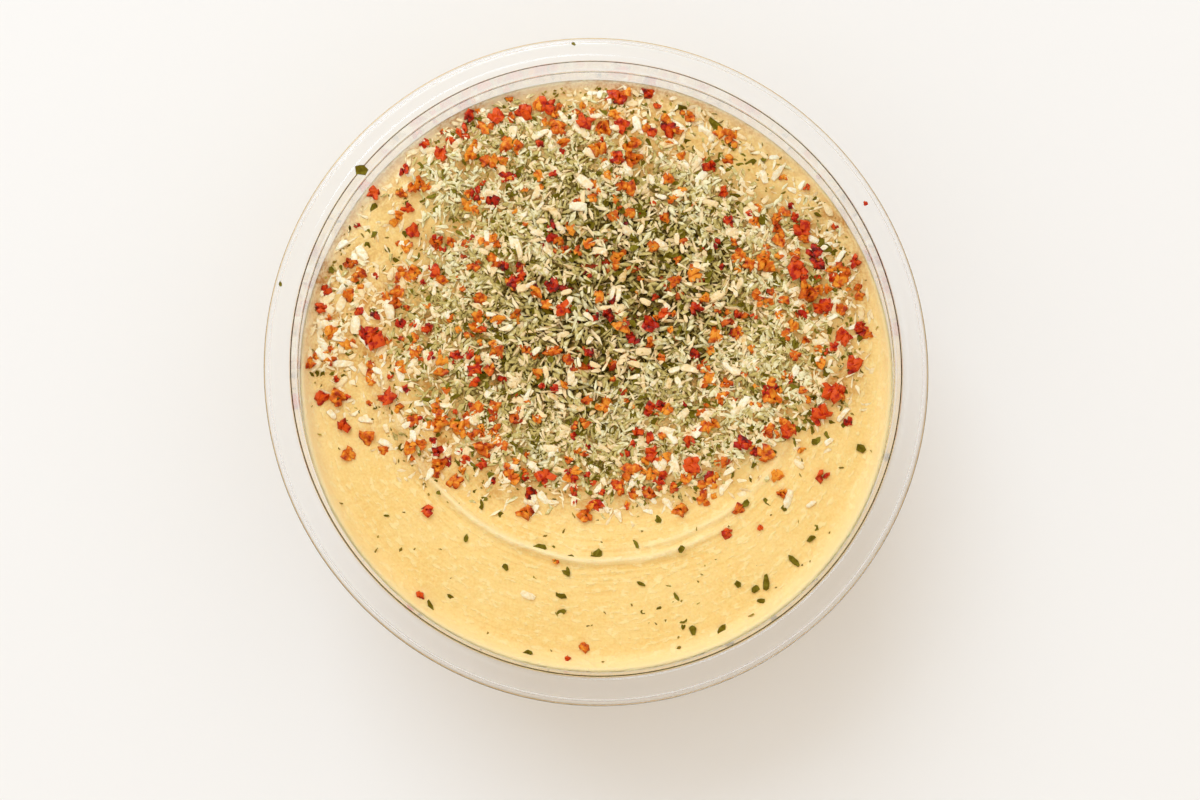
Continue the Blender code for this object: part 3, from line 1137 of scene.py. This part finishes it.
class DIP_OT_pepper(bpy.types.Operator):
    """Strews the red bits of dried pepper"""

    bl_idname = "dip.pepper"
    bl_label = "Red Pepper Bits"

    def execute(self, context):
        topping = context.scene.dip_topping

        def build(name, dice):
            size, flatness = dice.uniform(2.4, 3.2) * MM, dice.uniform(0.4, 0.6)
            return crumb(name, dice, size, flatness, dice.choice((3, 4, 4)))

        tones = ((0.11, 0.004, 0.001), topping.pepper, (0.74, 0.085, 0.006))
        finish = dried_finish("pepper", tones, 0.3, 0.7 * MM, gloss=0.2, mottling=3.0)
        strew(
            context, "pepper_bits", make_kinds("pepper_bit", 10, build), finish.material,
            pepper_share, spots=PEPPER_SPOTS, per_square_metre=140000.0, spacing=1.4 * MM,
            smallest=0.4, largest=1.1, tilt=0.5, pile=topping.heap * 1.0, seed=7,
        )
        return {"FINISHED"}


class DIP_OT_orange_pepper(bpy.types.Operator):
    """Strews the orange bits of dried pepper"""

    bl_idname = "dip.orange_pepper"
    bl_label = "Orange Pepper Bits"

    def execute(self, context):
        topping = context.scene.dip_topping

        def build(name, dice):
            size, flatness = dice.uniform(2.4, 3.1) * MM, dice.uniform(0.4, 0.6)
            return crumb(name, dice, size, flatness, dice.choice((3, 4, 4)))

        tones = ((0.36, 0.025, 0.001), topping.carrot, (0.88, 0.32, 0.025))
        finish = dried_finish("orange_pepper", tones, 0.35, 0.7 * MM, gloss=0.2, mottling=3.0)
        strew(
            context, "orange_bits", make_kinds("orange_bit", 10, build), finish.material,
            orange_share, spots=ORANGE_SPOTS, per_square_metre=250000.0, spacing=1.1 * MM,
            smallest=0.4, largest=1.1, tilt=0.5, pile=topping.heap * 0.9, seed=9,
        )
        return {"FINISHED"}


class DIP_OT_herbs(bpy.types.Operator):
    """Strews the dark green herb flakes"""

    bl_idname = "dip.herbs"
    bl_label = "Herb Flakes"

    def execute(self, context):
        topping = context.scene.dip_topping

        def build(name, dice):
            length, width = dice.uniform(1.6, 3.4) * MM, dice.uniform(1.1, 2.0) * MM
            return leaf(name, dice, length, width, 0.12 * MM, dice.uniform(-0.05, 0.14))

        tones = ((0.018, 0.010, 0.0005), topping.herb, (0.22, 0.18, 0.015))
        finish = dried_finish("herb", tones, 0.6, 0.5 * MM, gloss=0.05)
        strew(
            context, "herb_flakes", make_kinds("herb_bit", 8, build), finish.material,
            herb_share, spots=HERB_SPOTS, per_square_metre=1500000.0, spacing=0.45 * MM,
            smallest=0.35, largest=1.0, tilt=0.45, pile=topping.heap * 0.8, seed=11,
        )
        return {"FINISHED"}


class DIP_OT_herb_grit(bpy.types.Operator):
    """Strews the finest olive crumbs of herb"""

    bl_idname = "dip.herb_grit"
    bl_label = "Herb Grit"

    def execute(self, context):
        topping = context.scene.dip_topping

        def build(name, dice):
            length, width = dice.uniform(0.7, 1.3) * MM, dice.uniform(0.4, 0.7) * MM
            return fine_sliver(name, dice, length, width, 0.25 * MM, 6, 0.4)

        tones = ((0.04, 0.02, 0.001), (0.22, 0.14, 0.012), (0.48, 0.33, 0.05))
        finish = dried_finish("grit", tones, 0.7, 0.4 * MM, gloss=0.1)
        strew(
            context, "herb_grit", make_kinds("grit_bit", 8, build), finish.material,
            grit_share, per_square_metre=4000000.0, spacing=0.25 * MM,
            smallest=0.6, largest=1.2, tilt=0.5, pile=topping.heap * 0.55, seed=13,
        )
        return {"FINISHED"}


# ---------------------------------------------------------------- stage


class DIP_OT_stage(bpy.types.Operator):
    """Sets the pale table, the soft lights and the camera above the tub"""

    bl_idname = "dip.stage"
    bl_label = "Stage"

    def execute(self, context):
        look = context.scene.dip_stage
        self.make_table(look)
        self.make_lights(context)
        self.make_camera(context, look)
        context.scene.view_settings.view_transform = "Standard"
        return {"FINISHED"}

    def make_table(self, look):
        bm = bmesh.new()
        bmesh.ops.create_grid(bm, x_segments=8, y_segments=8, size=3.0)
        for vert in bm.verts:
            vert.co.z = -0.2 * MM
        finish = Finish("table")
        dimmer = tuple(c * 0.995 for c in look.floor)
        pale = finish.blend(finish.noise(0.25, detail=1.0), dimmer, tuple(look.floor))
        finish.set(base_color=pale, roughness=0.9, specular_ior_level=0.1)
        to_object("table", bm, finish.material)

    def make_lights(self, context):
        world = bpy.data.worlds.new("studio")
        context.scene.world = world
        world.use_nodes = True
        world.node_tree.nodes["Background"].inputs["Color"].default_value = (1.0, 0.93, 0.85, 1.0)
        world.node_tree.nodes["Background"].inputs["Strength"].default_value = 0.92
        lamp = bpy.data.lights.new("window", "AREA")
        lamp.shape = "RECTANGLE"
        lamp.size, lamp.size_y = 1.26, 0.98
        lamp.energy = 13.0
        lamp.color = (0.80, 0.98, 1.22)
        window = bpy.data.objects.new("window", lamp)
        context.scene.collection.objects.link(window)
        window.location = (-0.54, 1.166, 1.288)
        window.rotation_euler = (-Vector(window.location)).to_track_quat("-Z", "Y").to_euler()

    def make_camera(self, context, look):
        lens = bpy.data.cameras.new("above")
        lens.lens = look.lens
        lens.clip_start = 0.01
        camera = bpy.data.objects.new("above", lens)
        context.scene.collection.objects.link(camera)
        camera.location = (0.7 * MM, -look.reach * tan(look.lean), TUB_HEIGHT + look.reach)
        camera.rotation_euler = (look.lean - look.lift, 0, 0)
        context.scene.camera = camera


# ---------------------------------------------------------------- panel and run


STEPS = (
    DIP_OT_stage,
    DIP_OT_tub,
    DIP_OT_hummus,
    DIP_OT_topping_core,
    DIP_OT_fine_green,
    DIP_OT_fine_cream,
    DIP_OT_herb_grit,
    DIP_OT_herbs,
    DIP_OT_onion,
    DIP_OT_orange_pepper,
    DIP_OT_pepper,
)


class DIP_PT_panel(bpy.types.Panel):
    """Lists the makers of the tub, the dip and its topping"""

    bl_label = "Tub of Hummus"
    bl_idname = "DIP_PT_panel"
    bl_space_type = "VIEW_3D"
    bl_region_type = "UI"
    bl_category = "Hummus"

    def draw(self, context):
        for step in STEPS:
            self.layout.operator(step.bl_idname)
        for group in (context.scene.dip_tub, context.scene.dip_hummus, context.scene.dip_topping):
            for name in group.__annotations__:
                self.layout.prop(group, name)


GROUPS = {"dip_tub": TubSizes, "dip_hummus": HummusLook, "dip_topping": ToppingMix, "dip_stage": StageLook}


def register():
    for kind in (*GROUPS.values(), *STEPS, DIP_PT_panel):
        bpy.utils.register_class(kind)
    for name, group in GROUPS.items():
        setattr(bpy.types.Scene, name, bpy.props.PointerProperty(type=group))


def unregister():
    for name in GROUPS:
        delattr(bpy.types.Scene, name)
    for kind in reversed((*GROUPS.values(), *STEPS, DIP_PT_panel)):
        bpy.utils.unregister_class(kind)


def main():
    register()
    for step in STEPS:
        getattr(bpy.ops.dip, step.bl_idname.split(".")[1])()


if __name__ == "__main__":
    main()
